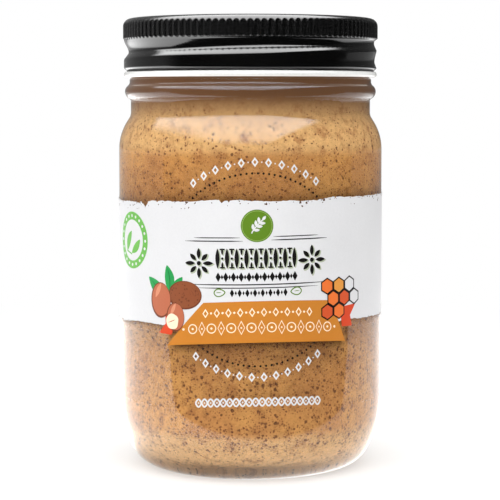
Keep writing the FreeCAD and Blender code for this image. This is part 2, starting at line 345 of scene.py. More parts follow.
heelCos, heelSin = bent("heelTurn")
heelSweep = (jar["body"] - jar["foot"] - jar["heelArc"] * heelCos) / (1 - heelCos)
heelTop = jar["heelArc"] * (1 - heelSin) + heelSweep * heelSin
shoulderCos, shoulderSin = bent("shoulderTurn")
waistRadius = jar["neck"] + jar["waistStep"]
beadHeight = jar["rim"] - jar["beadDown"]
beadCentre = jar["neck"] + jar["beadStep"] - jar["beadArc"]
beadLow = beadHeight - math.sqrt(jar["beadArc"] ** 2 - (waistRadius - beadCentre) ** 2)
collar = jar["neck"] + jar["collarStep"]
beadTop = beadHeight + math.sqrt(jar["beadArc"] ** 2 - (collar - beadCentre) ** 2)
waistBase = beadLow - jar["waistTall"]
waistEdge = waistRadius + jar["waistArc"] * (1 - shoulderCos)
waistLow = waistBase - jar["waistArc"] * shoulderSin
shoulderCentre = jar["body"] - jar["shoulderArc"]
shoulderEdge = shoulderCentre + jar["shoulderArc"] * shoulderCos
shoulderTop = waistLow - (shoulderEdge - waistEdge) * shoulderCos / shoulderSin
shoulderBase = shoulderTop - jar["shoulderArc"] * shoulderSin


def insideProfile(gap, top):
    # the glass's inner outline from the top down to the middle of its floor, moved outwards by the gap
    wide = jar["body"] - jar["wall"] + gap
    arcSize = jar["shoulderArc"] - jar["wall"] + gap
    bore = jar["neck"] - jar["neckWall"] + gap
    bend = jar["boreArc"] - gap
    edge = (shoulderCentre + arcSize * shoulderCos, shoulderBase + arcSize * shoulderSin)
    neckEdge = bore + bend * (1 - shoulderCos)
    neckLow = edge[1] + (edge[0] - neckEdge) * shoulderCos / shoulderSin
    bendMid = (bore + bend, neckLow + bend * shoulderSin)
    corner = jar["floorArc"] + gap
    floor = jar["floor"] - gap
    turnDegrees = jar["shoulderTurn"]
    return joined(
        run((bore, top), (bore, bendMid[1]), 14),
        arc(bendMid, bend, 180, 180 + turnDegrees, 9),
        run((neckEdge, neckLow), edge, 5),
        arc((shoulderCentre, shoulderBase), arcSize, turnDegrees, 0, 16),
        run((wide, shoulderBase), (wide, floor + corner), 40),
        arc((wide - corner, floor + corner), corner, 0, -90, 26),
        run((wide - corner, floor), (poleRadius, floor), 16),
    )


def glassThread(angle, height):
    # how far the thread stands out: a round ridge about a line that climbs one pitch a turn,
    # falling to nothing at each end; its height over the neck is the root of one less the square of the
    # share of its half height
    stand = np.zeros(np.broadcast(angle, height).shape)
    for lap in range(3):
        turns = angle / tau + lap - 0.5
        off = (height - jar["threadLow"] - turns * jar["threadPitch"]) / jar["threadHalf"]
        fade, last = jar["threadFade"], jar["threadTurns"]
        ends = cosStep(0, fade, turns) * (1 - cosStep(last, last + fade, turns))
        stand = np.maximum(stand, jar["threadProud"] * ends * np.sqrt(np.clip(1 - off * off, 0, 1)))
    return stand


clearGlass = {
    "tone": (0.985, 1.0, 0.99, 1),
    "shine": (0.44, 0.50, 0.56, 1),  # tint of its reflections
    "bending": 1.5,
    "waves": 38.0,                   # how close its slow waves lie
    "waveBump": 0.02,
    "waveDeep": 0.002,
}


def makeGlassMaterial():
    # clear soda glass: a faint waviness in its surface, and light and soft light pass without bending
    material, tree, output, place = newMaterial("clearGlass")
    wave = noise(tree, place, clearGlass["waves"], Detail=1.5)
    glass = addNode(tree, "ShaderNodeBsdfPrincipled",
                    {"Base Color": clearGlass["tone"], "Roughness": 0.0, "IOR": clearGlass["bending"],
                     "Transmission Weight": 1.0, "Metallic": 0.0, "Specular Tint": clearGlass["shine"],
                     "Normal": bumpOf(tree, wave, clearGlass["waveBump"], clearGlass["waveDeep"])})
    clear = addNode(tree, "ShaderNodeBsdfTransparent", {"Color": (1, 1, 1, 1)})
    path = tree.nodes.new("ShaderNodeLightPath")
    soft = addNode(tree, "ShaderNodeMixShader",
                   {0: path.outputs["Is Diffuse Ray"], 1: glass.outputs[0], 2: clear.outputs[0]})
    both = addNode(tree, "ShaderNodeMixShader",
                   {0: path.outputs["Is Shadow Ray"], 1: soft.outputs[0], 2: clear.outputs[0]})
    surface(tree, output, both)
    return material


def makeGlassJar():
    # the outline from the push-up, round the foot, up the outside, over the rim and down the inside,
    # turned about the axis, with the screw thread added to the neck
    foot, soft, body, neck, rim = jar["foot"], jar["softCorner"], jar["body"], jar["neck"], jar["rim"]
    near, far, bevel, rimArc = jar["cornerNear"], jar["cornerFar"], jar["bevel"], jar["rimArc"]
    neckLow = rim - jar["neckDown"]
    collarHigh = rim - jar["collarDown"]
    inner = foot - jar["footWide"]
    heelJoin = (foot, jar["heelArc"])
    outside = joined(
        run((poleRadius, jar["pushUp"]), (inner - jar["pushRun"] - soft, jar["pushUp"]), 12),
        run((inner - jar["pushRun"], jar["pushUp"] - 0.06), (inner - soft, 0.12), 5),
        run((inner, 0.0), (foot, 0.0), 4),
        arc(heelJoin, jar["heelArc"], -90, -jar["heelTurn"], 20),
        arc((body - heelSweep, heelTop), heelSweep, -jar["heelTurn"], 0, 22),
        run((body, heelTop), (body, shoulderBase), 50),
        arc((shoulderCentre, shoulderBase), jar["shoulderArc"], 0, jar["shoulderTurn"], 18),
        run((shoulderEdge, shoulderTop), (waistEdge, waistLow), 4),
        arc((waistRadius + jar["waistArc"], waistBase), jar["waistArc"], 180 + jar["shoulderTurn"], 180, 8),
        run((waistRadius, waistBase), (waistRadius, beadLow - far), 6),
        run((waistRadius + near, beadLow - jar["cornerDrop"]), (waistRadius + far, beadLow + near), 2),
        arc((beadCentre, beadHeight), jar["beadArc"], *jar["beadSweep"], 18),
        run((collar + jar["cornerOut"], beadTop + near), (collar, beadTop + far + bevel), 2),
        run((collar, beadTop + 2 * far), (collar, collarHigh - 2 * bevel), 3),
        run((collar - bevel, collarHigh), (neck + bevel, neckLow - 2 * bevel), 3),
        run((neck, neckLow), (neck, rim - rimArc), 50),
        arc((neck - rimArc, rim - rimArc), rimArc, 0, 90, 6),
        arc((neck - jar["neckWall"] + rimArc, rim - rimArc), rimArc, 90, 180, 6),
    )
    profile = joined(outside, insideProfile(0.0, rim - rimArc))
    angle, radius, height = turn(profile, jar["columns"])
    outer = (np.arange(len(profile)) < len(outside))[:, None] & (height > collar)
    stand = glassThread(angle, height) * outer * (radius > neck - 0.01)
    points = toRound(angle, radius + stand, height)
    bottom = (0, 0, jar["pushUp"] * mm)
    middle = (0, 0, jar["floor"] * mm)
    piece = meshPiece("glassJar", [(points, True, bottom, middle)], makeGlassMaterial())
    return belongs(piece, "glass", "glass_jar")


makeGlassJar()
print("glass jar made")

butter = {
    "reach": 0.25,                   # how far the filling reaches into the glass
    "top": butterHigh.z / mm,
    "bend": 0.6,                     # rounding of its upper edge
    "swell": 0.25,                   # how far its top dips and swells
    "tone": rgb(186, 129, 72),
    "gold": rgb(201, 145, 80),
    "dark": rgb(148, 93, 51),
    "foot": rgb(232, 190, 136),      # painted light: a lighter tone for the butter round the foot, where the table's light falls
    "paintedLight": rgb(212, 168, 112),      # painted light: a lighter tone for the butter in the shoulder and at the foot
    "drifts": 60.0,                  # how close the golden drifts lie
    "patches": 330.0,
    "paintedLightAbove": 0.0895,             # metres: painted light makes the filling lighter above this height
    "paintedLightBelow": 0.0120,             # and below this one
    # small, middle and large specks: how close, how big, how shaken, how dark
    "specks": ((1700.0, 0.46, 0.5, 0.7), (1000.0, 0.42, 0.6, 0.85), (620.0, 0.36, 0.45, 0.85)),
    "crowdHigh": 0.095,              # heights between which the specks crowd together
    "crowdLow": 0.065,
    "crowdFoot": 0.003,              # where they are sparse again
    "crowdLevels": (0.28, 0.50),     # share of the cells that bear a speck, high up and low down
    "footLevels": (0.3, 1.0),        # what is left of that share at the foot, and over it
    "crowdPatches": (0.35, 0.65, -0.10, 0.14),
    "crowdMore": 0.12,               # the smaller specks crowd this much more
    "goldPatches": (0.40, 0.66),     # noise between which the golden tone comes in
    "darkPatches": (0.46, 0.72, 0.0, 0.7),
    "paintedLightShare": 0.85,
    "speck": rgb(108, 62, 38),
    "speckDeep": rgb(84, 46, 28),
    # painted shade: a dark tone for the butter in the lid's shadow under the neck
    "paintedLidShade": rgb(116, 78, 48),
    "paintedShadeLow": 0.0970,               # metres: heights between which painted shade of the lid darkens the filling
    "paintedShadeHigh": 0.1065,
    "columns": 300,
}


speckShape = {
    "shakeScale": 2.3,               # of the noise that shakes a speck's edge, against the specks' own
    "least": 0.4,                    # the smallest speck as a share of the largest
    "soft": 0.72,                    # share of its radius at which a speck is fully dark
    "growth": 0.5,                   # how far the crowd must pass a cell's chance for a full-sized speck
}


def makeSpeckGroup():
    # specks of nut skin: a cell's speck is where the distance to its point, shaken by noise, is under
    # a size that its own random number gives; crowd makes more of the cells bear one
    group, given, result = newGroup(
        "skinSpecks",
        [("Place", "NodeSocketVector", None), ("Scale", "NodeSocketFloat", 400.0),
         ("Size", "NodeSocketFloat", 0.3), ("Crowd", "NodeSocketFloat", 0.5),
         ("Shake", "NodeSocketFloat", 0.35)],
        [("Mask", "NodeSocketFloat"), ("Chance", "NodeSocketFloat")])
    shakeScale = product(group, given["Scale"], speckShape["shakeScale"])
    shakeNoise = addNode(group, "ShaderNodeTexNoise",
                         {"Vector": given["Place"], "Scale": shakeScale, "Detail": 2.0})
    centred = addNode(group, "ShaderNodeVectorMath",
                      {0: shakeNoise.outputs["Color"], 1: (0.5, 0.5, 0.5)}, operation="SUBTRACT").outputs[0]
    scaled = addNode(group, "ShaderNodeVectorMath",
                     {0: given["Place"], 3: given["Scale"]}, operation="SCALE").outputs[0]
    shaken = addNode(group, "ShaderNodeVectorMath",
                     {0: centred, 1: (1, 1, 1), 2: scaled}, operation="MULTIPLY_ADD")
    group.links.new(addNode(group, "ShaderNodeCombineXYZ",
                            {side: given["Shake"] for side in range(3)}).outputs[0],
                    shaken.inputs[1])
    cells = addNode(group, "ShaderNodeTexVoronoi",
                    {"Vector": shaken.outputs[0], "Scale": 1.0, "Randomness": 1.0})
    chance = addNode(group, "ShaderNodeSeparateColor", {"Color": cells.outputs["Color"]})
    bears = calc(group, "SUBTRACT", given["Crowd"], chance.outputs[0])
    grows = addNode(group, "ShaderNodeMapRange",
                    {"Value": bears, "From Min": 0.0, "From Max": speckShape["growth"],
                     "To Min": 0.0, "To Max": 1.0}).outputs[0]
    least = speckShape["least"]
    size = product(group, given["Size"], calc(group, "MULTIPLY_ADD", grows, 1 - least, least),
                   calc(group, "GREATER_THAN", bears, 0.0))
    near = calc(group, "DIVIDE", cells.outputs["Distance"], calc(group, "ADD", size, 0.0001))
    group.links.new(ramp(group, near, 1.0, speckShape["soft"]), result["Mask"])
    group.links.new(chance.outputs[1], result["Chance"])
    return group


def makeButterMaterial():
    # ground nuts: a warm tan with golden and darker drifts, fine grain, and dark flecks of skin in three
    # sizes, the largest on top, which crowd together lower down and thin out at the foot and under the lid;
    # painted light makes it lighter in the shoulder and round the foot, and painted shade of the lid darkens
    # it
    material, tree, output, place = newMaterial("nutButter")
    specks = makeSpeckGroup()
    drift = noise(tree, place, butter["drifts"], Detail=3.0, Roughness=0.6)
    patch = noise(tree, place, butter["patches"], Detail=4.0, Roughness=0.7)
    tone = blend(tree, ramp(tree, drift, *butter["goldPatches"]), butter["tone"], butter["gold"])
    height = heightOf(tree, place)
    # painted light: the butter gets lighter tones in the shoulder and round the foot, where more light falls
    above, below = butter["paintedLightAbove"], butter["paintedLightBelow"]
    paintedLight = calc(tree, "ADD", ramp(tree, height, above - 0.001, above + 0.0022),
                ramp(tree, height, below + 0.003, below - 0.001))
    tone = blend(tree, product(tree, paintedLight, butter["paintedLightShare"]), tone, butter["paintedLight"])
    tone = blend(tree, ramp(tree, height, below - 0.001, below - 0.009), tone, butter["foot"])
    tone = blend(tree, ramp(tree, patch, *butter["darkPatches"]), tone, butter["dark"])
    grain = useGroup(tree, grainGroup, Place=place, Tone=tone, Amount=0.45,
                     Coarse=700.0, Fine=1900.0, Roughness=0.55, Spread=0.2)
    high, low = butter["crowdHigh"], butter["crowdLow"]
    crowd = calc(tree, "ADD", ramp(tree, height, high, low, *butter["crowdLevels"]),
                 ramp(tree, patch, *butter["crowdPatches"]))
    # the specks thin out where the painted shade of the lid darkens the butter
    crowd = product(tree, crowd, ramp(tree, height, butter["paintedShadeHigh"], butter["paintedShadeLow"]),
                    ramp(tree, height, butter["crowdFoot"], below, *butter["footLevels"]))
    more = calc(tree, "ADD", crowd, butter["crowdMore"])
    tone = grain["Tone"]
    for scale, size, shake, cover in butter["specks"]:
        large = scale == butter["specks"][-1][0]
        flecks = useGroup(tree, specks, Place=place, Scale=scale, Size=size, Crowd=crowd if large else more,
                          Shake=shake)
        skin = butter["speck"]
        if large:
            skin = blend(tree, flecks["Chance"], butter["speck"], butter["speckDeep"])
        tone = blend(tree, product(tree, flecks["Mask"], cover), tone, skin)
    # painted shade: the lid's shadow, painted as a darker tone under the neck
    paintedLidShade = ramp(tree, height, butter["paintedShadeLow"], butter["paintedShadeHigh"])
    tone = blend(tree, paintedLidShade, tone, butter["paintedLidShade"])
    shader = addNode(tree, "ShaderNodeBsdfPrincipled",
                     {"Base Color": tone, "Roughness": grain["Roughness"], "Specular IOR Level": 0.25,
                      "Normal": bumpOf(tree, patch, 0.25, 0.0006)})
    surface(tree, output, shader)
    return material


def makeButterFill():
    # the filling: from the middle of the floor out and up the inside of the glass, then across a top
    # that dips and swells a little
    top = butter["top"]
    side = insideProfile(butter["reach"], top)[::-1]
    edge = side[-1][0]
    bend = butter["bend"]
    across = joined(arc((edge - bend, top - bend), bend, 0, 90, 5),
                    run((edge - bend, top), (poleRadius, top), 14))
    profile = joined(side[:-1], across)
    angle, radius, height = turn(profile, butter["columns"])
    swell = butter["swell"] * np.sin(2 * angle + radius * 0.2) * np.sin(radius * 0.24)
    height = np.where(height > top - 0.01, height + swell * (radius < edge - 1), height)
    points = toRound(angle, radius, height)
    floor = (0, 0, (jar["floor"] - butter["reach"]) * mm)
    piece = meshPiece("butterFill", [(points, True, floor, (0, 0, top * mm))], makeButterMaterial())
    return belongs(piece, "butter", "almond_butter")


makeButterFill()
print("nut butter made")

lid = {
    "top": lidHigh.z / mm,
    "base": lidLow.z / mm,
    "skirt": 36.0,
    "band": 36.2,                    # radius of the knurled band
    "sheet": 0.3,
    "corner": 2.2,
    "panelInset": 5.7,
    "panelDrop": 0.5,
    "lipArc": 0.35,                  # rounding where the lid's flat ring turns down to the panel
    "lipOut": 0.75,
    "knurlTall": 5.8,
    "knurls": 120,
    "hollowArc": 1.1,
    "hollowBite": 0.3,
    "groovePitch": 5.08,
    "grooveRise": 4.5,
    "grooveBite": 1.35,
    "grooveUp": 3.9,                 # height of the long slope above the groove's line
    "grooveDown": 2.3,               # height of the short straight slope below it
    "grooveRound": 0.24,             # share of the short slope that is rounded at each end
    "grooveIn": (-0.22, 0.2),        # turns between which it fades in, and out
    "grooveOut": (0.86, 1.16),
    "curlSunk": 0.1,                 # how far the skirt's fold sits below the top of the rolled edge
    "knurlPoints": (-0.5, -0.405, -0.30, -0.16, 0.0, 0.16, 0.30, 0.405),   # shares of a knurl's width
    "curl": 0.85,
    "tuck": 0.9,
}


def lidGroove(angle, height):
    # how far the rolled thread sinks below a line that climbs one pitch a turn: a raised cosine above the
    # line and a straight slope with rounded ends below it, fading in about its start and out about its end
    sink = np.zeros(np.broadcast(angle, height).shape)
    for lap in range(3):
        turns = angle / tau + lap - 1
        off = height - lid["base"] - lid["grooveRise"] - turns * lid["groovePitch"]
        above = np.cos(np.clip(off / lid["grooveUp"], 0, 1) * math.pi / 2) ** 2
        below = np.clip(-off / lid["grooveDown"], 0, 1)
        bend = lid["grooveRound"]
        near = np.minimum(below, 1 - below)
        share = np.where(near < bend, near ** 2 / (2 * bend), near - bend / 2) / (1 - bend)
        below = np.where(below < 0.5, 1 - share, share)
        ends = cosStep(*lid["grooveIn"], turns) * (1 - cosStep(*lid["grooveOut"], turns))
        wave = np.where(off > 0, above, below)
        sink = np.maximum(sink, lid["grooveBite"] * ends * wave)
    return sink


def hollowRadius(angle):
    # the radius that the knurls' round cutters leave: the cutter's middle less the height of its circle
    period = tau / lid["knurls"]
    across = ((angle / period + 0.5) % 1 - 0.5) * period * lid["band"]
    reach = np.sqrt(np.clip(lid["hollowArc"] ** 2 - across ** 2, 0.01, None))
    return lid["band"] + lid["hollowArc"] - lid["hollowBite"] - reach


blackEnamel = {"tone": rgb(6, 6, 6), "rough": 0.13, "coat": 0.12, "uneven": 0.06, "worn": 0.09}
whiteEnamel = {"tone": rgb(240, 240, 238), "rough": 0.22, "coat": 0.2, "uneven": 0.05, "worn": 0.0}


def makeEnamelMaterial(name, enamel, wornAbove):
    # baked enamel on steel: even colour, slightly uneven gloss and a faint ripple, duller above a height
    material, tree, output, place = newMaterial(name)
    grain = useGroup(tree, grainGroup, Place=place, Tone=enamel["tone"], Amount=0.25,
                     Coarse=70.0, Fine=1600.0, Roughness=enamel["rough"], Spread=enamel["uneven"])
    height = heightOf(tree, place)
    worn = ramp(tree, height, wornAbove - 0.0002, wornAbove + 0.0002, 0.0, enamel["worn"])
    shader = addNode(tree, "ShaderNodeBsdfPrincipled",
                     {"Base Color": grain["Tone"], "Roughness": calc(tree, "ADD", grain["Roughness"], worn),
                      "IOR": 1.52, "Coat Weight": enamel["coat"], "Coat Roughness": 0.08,
                      "Normal": bumpOf(tree, grain["Height"], 0.05, 0.0002)})
    surface(tree, output, shader)
    return material


def makeLidShell():
    # the sheet's outline from under the panel, down inside the skirt, round its lower end, up the outside
    # and back over the top; outer rows carry the knurls and all skirt rows carry the rolled thread
    top, base, sheet = lid["top"], lid["base"], lid["sheet"]
    band, skirt, corner = lid["band"], lid["skirt"], lid["corner"]
    panel = top - lid["panelDrop"]
    panelEdge = band - lid["panelInset"]
    knurlBase = top - lid["knurlTall"]
    curlTop = base + 2 * lid["curl"] - lid["curlSunk"]
    tuckIn = skirt - lid["tuck"]
    inner = joined(
        run((poleRadius, panel - sheet), (panelEdge, panel - sheet), 5),
        run((panelEdge + 0.5, top - sheet), (band - corner, top - sheet), 2),
        arc((band - corner, top - corner), corner - sheet, 90, 0, 5),
        run((skirt - sheet, top - corner), (skirt - sheet, curlTop + lid["tuck"]), 14),
        run((tuckIn - sheet, curlTop + 0.3), (tuckIn - sheet, curlTop - 0.3), 2),
    )
    outside = joined(
        run((tuckIn, curlTop - 0.3), (tuckIn, curlTop + 0.1), 2),
        run((tuckIn + 0.06, curlTop + 0.25), (skirt - 0.12, curlTop + lid["tuck"]), 4),
        run((skirt, curlTop + lid["tuck"] + 0.2), (skirt, knurlBase), 29),
        run((skirt + 0.06, knurlBase + 0.04), (band, knurlBase + 0.22), 3),
        run((band, knurlBase + 0.36), (band, knurlBase + 1.0), 5),
        run((band, knurlBase + 1.2), (band, top - corner), 3),
        arc((band - corner, top - corner), corner, 0, 90, 13),
        run((band - corner - 0.3, top), (panelEdge + lid["lipOut"], top), 2),
        arc((panelEdge + lid["lipOut"], top - lid["lipArc"]), lid["lipArc"], 100, 150, 3),
        run((panelEdge + 0.18, panel + 0.08), (panelEdge - 0.25, panel), 3),
        run((panelEdge - 1.5, panel), (poleRadius, panel), 6),
    )
    profile = np.concatenate([inner, outside])
    period = tau / lid["knurls"]
    within = np.array(lid["knurlPoints"])
    angles = (np.arange(lid["knurls"])[:, None] * period + within * period).ravel()
    angle, radius, height = turn(profile, len(angles), angles)
    isOuter = (np.arange(len(profile)) >= len(inner))[:, None]
    isBand = isOuter & (height > knurlBase + 0.01)
    radius = np.where(isBand, np.minimum(radius, hollowRadius(angle)), radius)
    onSkirt = cosStep(curlTop + 0.35, curlTop + 1.5, height)
    onSkirt = onSkirt * (1 - cosStep(knurlBase - 0.5, knurlBase, height))
    radius = radius - lidGroove(angle % tau, height) * onSkirt * (radius > skirt - 1.2)
    points = toRound(angle, radius, height)
    material = makeEnamelMaterial("blackEnamel", blackEnamel, knurlBase * mm)
    grid = (points, True, (0, 0, (panel - sheet) * mm), (0, 0, panel * mm))
    return belongs(meshPiece("lidShell", [grid], material), "lid", "lid")


def makeLidCurl():
    # the rolled lower edge: a round tube in a ring
    centre = (lid["skirt"] - lid["curl"], lid["base"] + lid["curl"])
    tube = arc(centre, lid["curl"], 0, 360, 21)[:-1]
    angle, radius, height = turn(tube, 360)
    points = toRound(angle, radius, height)
    material = makeEnamelMaterial("whiteEnamel", whiteEnamel, lid["top"] * mm)
    piece = meshPiece("lidCurl", [(points, "both", None, None)], material)
    return belongs(piece, "lid", "lid")


makeLidShell()
makeLidCurl()
print("lid made")

filmThick = 0.12
label = {
    "inner": labelHigh.x / mm - filmThick,
    "film": filmThick,
    "ink": 0.006,                    # thickness of one ink
    "base": labelLow.z / mm,
    "top": labelHigh.z / mm,
    "gap": 6.0,                      # bare strip at the back
    "lift": 0.008,                   # of the first ink over the film's outer face
    "layer": 0.0105,                 # rise from one ink to the next one over it
    "middle": 1.6,                   # middle of the artwork, along the wall from the front
    "centre": 58.9,                  # height of the middle of the dotted ring
    "tilt": 0.8,                     # the artwork leans up to the right, degrees
    "arch": 0.0019,                  # fall of the arched rows for each square millimetre
    "discRow": 0.9,                  # widest step between two rings of points in a disc
}
ink = {
    "white": rgb(220, 220, 222),
    "dark": rgb(13, 10, 9),
    "crumb": rgb(84, 52, 30),
    "green": rgb(92, 129, 30),
    "paleGreen": rgb(150, 176, 96),
    "sealGreen": rgb(104, 176, 74),
    "leaf": rgb(38, 152, 78),
    "leafDeep": rgb(28, 118, 60),
    "ribbon": rgb(200, 126, 42),
    "tail": rgb(214, 70, 34),
    "cream": rgb(253, 232, 202),
    "nut": rgb(112, 58, 36),
    "husk": rgb(140, 78, 48),
    "nutWarm": rgb(186, 106, 76),
    "nutPale": rgb(214, 144, 112),
    "cell": rgb(231, 116, 50),
    "cellDeep": rgb(208, 84, 42),
    "cellWarm": rgb(222, 150, 66),
    "softShadow": rgb(176, 184, 160),
}
halfWrap = math.pi * label["inner"] - label["gap"] / 2


def onWall(along, height, layer):
    # wraps millimetres along the wall from the front, and up, round the wall at the ink's radius
    radius = label["inner"] + label["film"] + label["lift"] + label["layer"] * layer
    return toRound(along / label["inner"] - tau / 4, radius, height)


def onLabel(a, b, layer):
    # label millimetres from the middle of the dotted ring, turned by the small tilt of the artwork
    lean = math.radians(label["tilt"])
    along = label["middle"] + a * math.cos(lean) - b * math.sin(lean)
    return onWall(along, label["centre"] + a * math.sin(lean) + b * math.cos(lean), layer)


def onArch(a, b, layer):
    # the ribbon and the lowest row are drawn on a shallow arch, which falls with the square of a
    return onLabel(a, b - label["arch"] * a * a, layer)


def stroke(a, b, width, layer, loop=False, place=onLabel):
    # a line of ink: a path moved to both sides of itself by half its width
    path = np.stack([a, b], axis=-1)
    if loop:
        heading = np.roll(path, -1, axis=0) - np.roll(path, 1, axis=0)
    else:
        heading = np.gradient(path, axis=0)
    heading = heading / np.linalg.norm(heading, axis=1)[:, None]
    side = np.stack([-heading[:, 1], heading[:, 0]], axis=-1)
    across = np.linspace(-0.5, 0.5, 3)[:, None, None]
    points = path + side * across * (width + 0 * path[:, :1])
    return place(points[..., 0], points[..., 1], layer), loop, None, None


ruleShape = {
    "step": 0.7,                     # millimetres from one point to the next
    "thinning": 4,                   # how fast its width falls off, and from which share of its length
    "thinFrom": 0.56,
    "thinnest": 0.25,
}


def rule(a, b, length, width, layer):
    # a level line whose width falls off in a straight slope towards both ends, down to its thinnest
    along = np.linspace(-0.5, 0.5, max(3, int(length / ruleShape["step"])))
    slope = ruleShape["thinning"] * (ruleShape["thinFrom"] - np.abs(along))
    thick = width * np.clip(slope, ruleShape["thinnest"], 1)[:, None]
    return stroke(a + along * length, b + 0 * along, thick, layer)


def disc(a, b, radius, layer, rim=None, columns=24, hole=0.0, place=onLabel):
    # a filled round, or a ring round a hole; its edge is the radius times a function of the angle
    angle = np.arange(columns) / columns * tau
    edge = radius * (rim(angle) if rim else np.ones(columns))
    rows = 2 + int((radius - hole) / label["discRow"])
    span = np.linspace(1, hole / radius if hole else 0.5 / rows, rows)[:, None]
    points = place(a + edge * span * np.cos(angle), b + edge * span * np.sin(angle), layer)
    return points, True, None, None if hole else place(np.array(a), np.array(b), layer)


def row(first, length, count):
    # the places of a row of marks spread evenly over a length, each with its number
    return [(k, first + length * k / (count - 1)) for k in range(count)]


def around(radius, angle):
    # the place at a radius and an angle from the middle
    return radius * math.cos(angle), radius * math.sin(angle)


def corners(count, turnBy):
    # the rim of a shape with straight sides: the cosine of half a side's angle over the cosine of the
    # angle from that side's middle
    side = tau / count
    return lambda angle: math.cos(side / 2) / np.cos((angle - turnBy) % side - side / 2)


def lozenge(wide, tall):
    # the rim of a diamond: one over the sum of its two slopes
    return lambda angle: 1 / (np.abs(np.cos(angle)) / wide + np.abs(np.sin(angle)) / tall)


def oval(wide):
    # the rim of an oval, stretched one way as much as it is squeezed the other
    return lambda angle: 1 / np.sqrt((np.cos(angle) / wide) ** 2 + (np.sin(angle) * wide) ** 2)


def rough(seed, amount):
    # an uneven rim: a few waves of random size about the angle
    draw = np.random.default_rng(seed)
    size, phase = draw.uniform(0.3, 1, 4), draw.uniform(0, tau, 4)
    return lambda angle: 1 + amount * sum(size[k] * np.sin((k + 2) * angle + phase[k]) for k in range(4)) / 2


def turned(a, b, ahead, aside, turnBy):
    # a point some way ahead of a place and aside of it, once the heading is turned by so many degrees
    heading = math.radians(turnBy)
    return (a + ahead * math.cos(heading) - aside * math.sin(heading),
            b + ahead * math.sin(heading) + aside * math.cos(heading))


leafShape = {
    "ends": (0.02, 0.98),            # where it starts and stops along its length
    "step": 0.6,                     # millimetres from one point to the next
    "fullness": 0.85,                # power of the sine
    "broad": 1.6,                    # a wider leaf gets more points across
}


def leaf(a, b, length, width, turnBy, layer, bend=0.0):
    # a pointed leaf from its stem: its half width is a power of the sine of the way along
    way = np.linspace(*leafShape["ends"], max(7, int(length / leafShape["step"])))
    half = width / 2 * np.sin(math.pi * way) ** leafShape["fullness"]
    across = np.linspace(-1, 1, 5 if width > leafShape["broad"] else 3)[:, None]
    ahead = way * length + 0 * across
    aside = across * half + bend * np.sin(math.pi * way)
    return onLabel(*turned(a, b, ahead, aside, turnBy), layer), False, None, None


def leafOutline(a, b, length, width, turnBy, lineWidth, layer):
    # the edge of a leaf as one closed line: a sine to the power 1.3, narrower by a quarter towards the tip
    angle = np.arange(28) / 28 * tau
    ahead = np.cos(angle) * length / 2
    aside = np.sin(angle) * np.abs(np.sin(angle)) ** 0.3 * width / 2 * (1 - 0.25 * np.cos(angle))
    return stroke(*turned(a, b, ahead, aside, turnBy), lineWidth, layer, loop=True)


def thicken(piece, thickness):
    # gives a sheet a back and edges, inwards, by so many millimetres
    solid = piece.modifiers.new("thickness", "SOLIDIFY")
    solid.thickness = thickness * mm
    solid.offset = -1


def makeInkMaterial(name, tone):
    # printed ink under film: even colour with a slight press mottle and a soft gloss
    material, tree, output, place = newMaterial(name)
    grain = useGroup(tree, grainGroup, Place=place, Tone=tone, Amount=0.07,
                     Coarse=90.0, Fine=1800.0, Roughness=0.42, Spread=0.08)
    shader = grained(tree, grain, 0.2, Normal=bumpOf(tree, grain["Height"], 0.04, 0.0002))
    surface(tree, output, shader)
    return material


def printInk(name, tone, shapes):
    # one ink's shapes joined into one thin piece with a back and edges
    piece = meshPiece(name, shapes, makeInkMaterial(name + "Ink", ink[tone]), smooth=False)
    thicken(piece, label["ink"])
    return belongs(piece, "label", "label")


film = {
    "tone": rgb(120, 84, 56),
    # heights in metres between which it grows clearer or fainter, and the levels there
    "low": (0.021, 0.045, 0.15, 0.4),
    "high": (0.0895, 0.080, 0.4, 1.0),
}


def makeFilm():
    # the clear film: a sheet round the wall that stops short of itself at the back; it shows by its
    # roughness times a level that is lower near its foot and its top
    material, tree, output, place = newMaterial("clearFilm")
    grain = useGroup(tree, grainGroup, Place=place, Tone=film["tone"], Amount=0.1,
                     Coarse=40.0, Fine=700.0, Roughness=0.1, Spread=0.03)
    height = heightOf(tree, place)
    thin = product(tree, ramp(tree, height, *film["low"]), ramp(tree, height, *film["high"]))
    shader = grained(tree, grain, 0.12, Alpha=product(tree, grain["Roughness"], thin))
    surface(tree, output, shader)
    along = np.linspace(-halfWrap, halfWrap, 361)
    height = joined(run((label["base"], 0), (label["base"] + 0.04, 0), 2),
                    run((label["base"] + 0.2, 0), (label["top"] - 0.2, 0), 12),
                    run((label["top"] - 0.04, 0), (label["top"], 0), 2))[:, :1]
    angle = along / label["inner"] - tau / 4
    points = toRound(angle, label["inner"] + label["film"], height + 0 * angle)
    piece = meshPiece("filmWrap", [(points, False, None, None)], material)
    thicken(piece, label["film"])
    return belongs(piece, "label", "label")


band = {
    "top": ((-119, 77.0), (-60, 76.3), (-45, 76.1), (-33, 76.4), (-30, 76.9), (-20, 76.9), (-11, 77.5),
            (19, 77.4), (23, 77.9), (45, 78.0), (80, 77.5), (119, 77.1)),
    "bottom": ((-119, 43.6), (-60, 42.9), (-45, 42.7), (-39, 43.3), (-31, 43.1), (-26, 42.9), (10, 43.6),
               (33, 44.2), (48, 43.8), (80, 43.9), (119, 43.7)),
    "ragged": ((7.0, 0.16), (2.3, 0.13), (0.9, 0.12), (0.4, 0.08)),   # step and height of each wave
    "nicks": 34,
    "nickDeep": (0.2, 0.9),          # root of a nick's depth, and half its width
    "nickWide": (0.25, 0.8),
    "dripAt": -32.6,                 # the deep drip in the top edge
    "dripDeep": 1.5,
    "dripWide": 1.3,
    "flecks": 150,
    "fleckSizes": ((0.2, 0.36), (0.07, 0.2)),      # of every sixth fleck, and of the others
    "fleckDrop": (0.25, 1.9),        # least and further drop below the edge
}


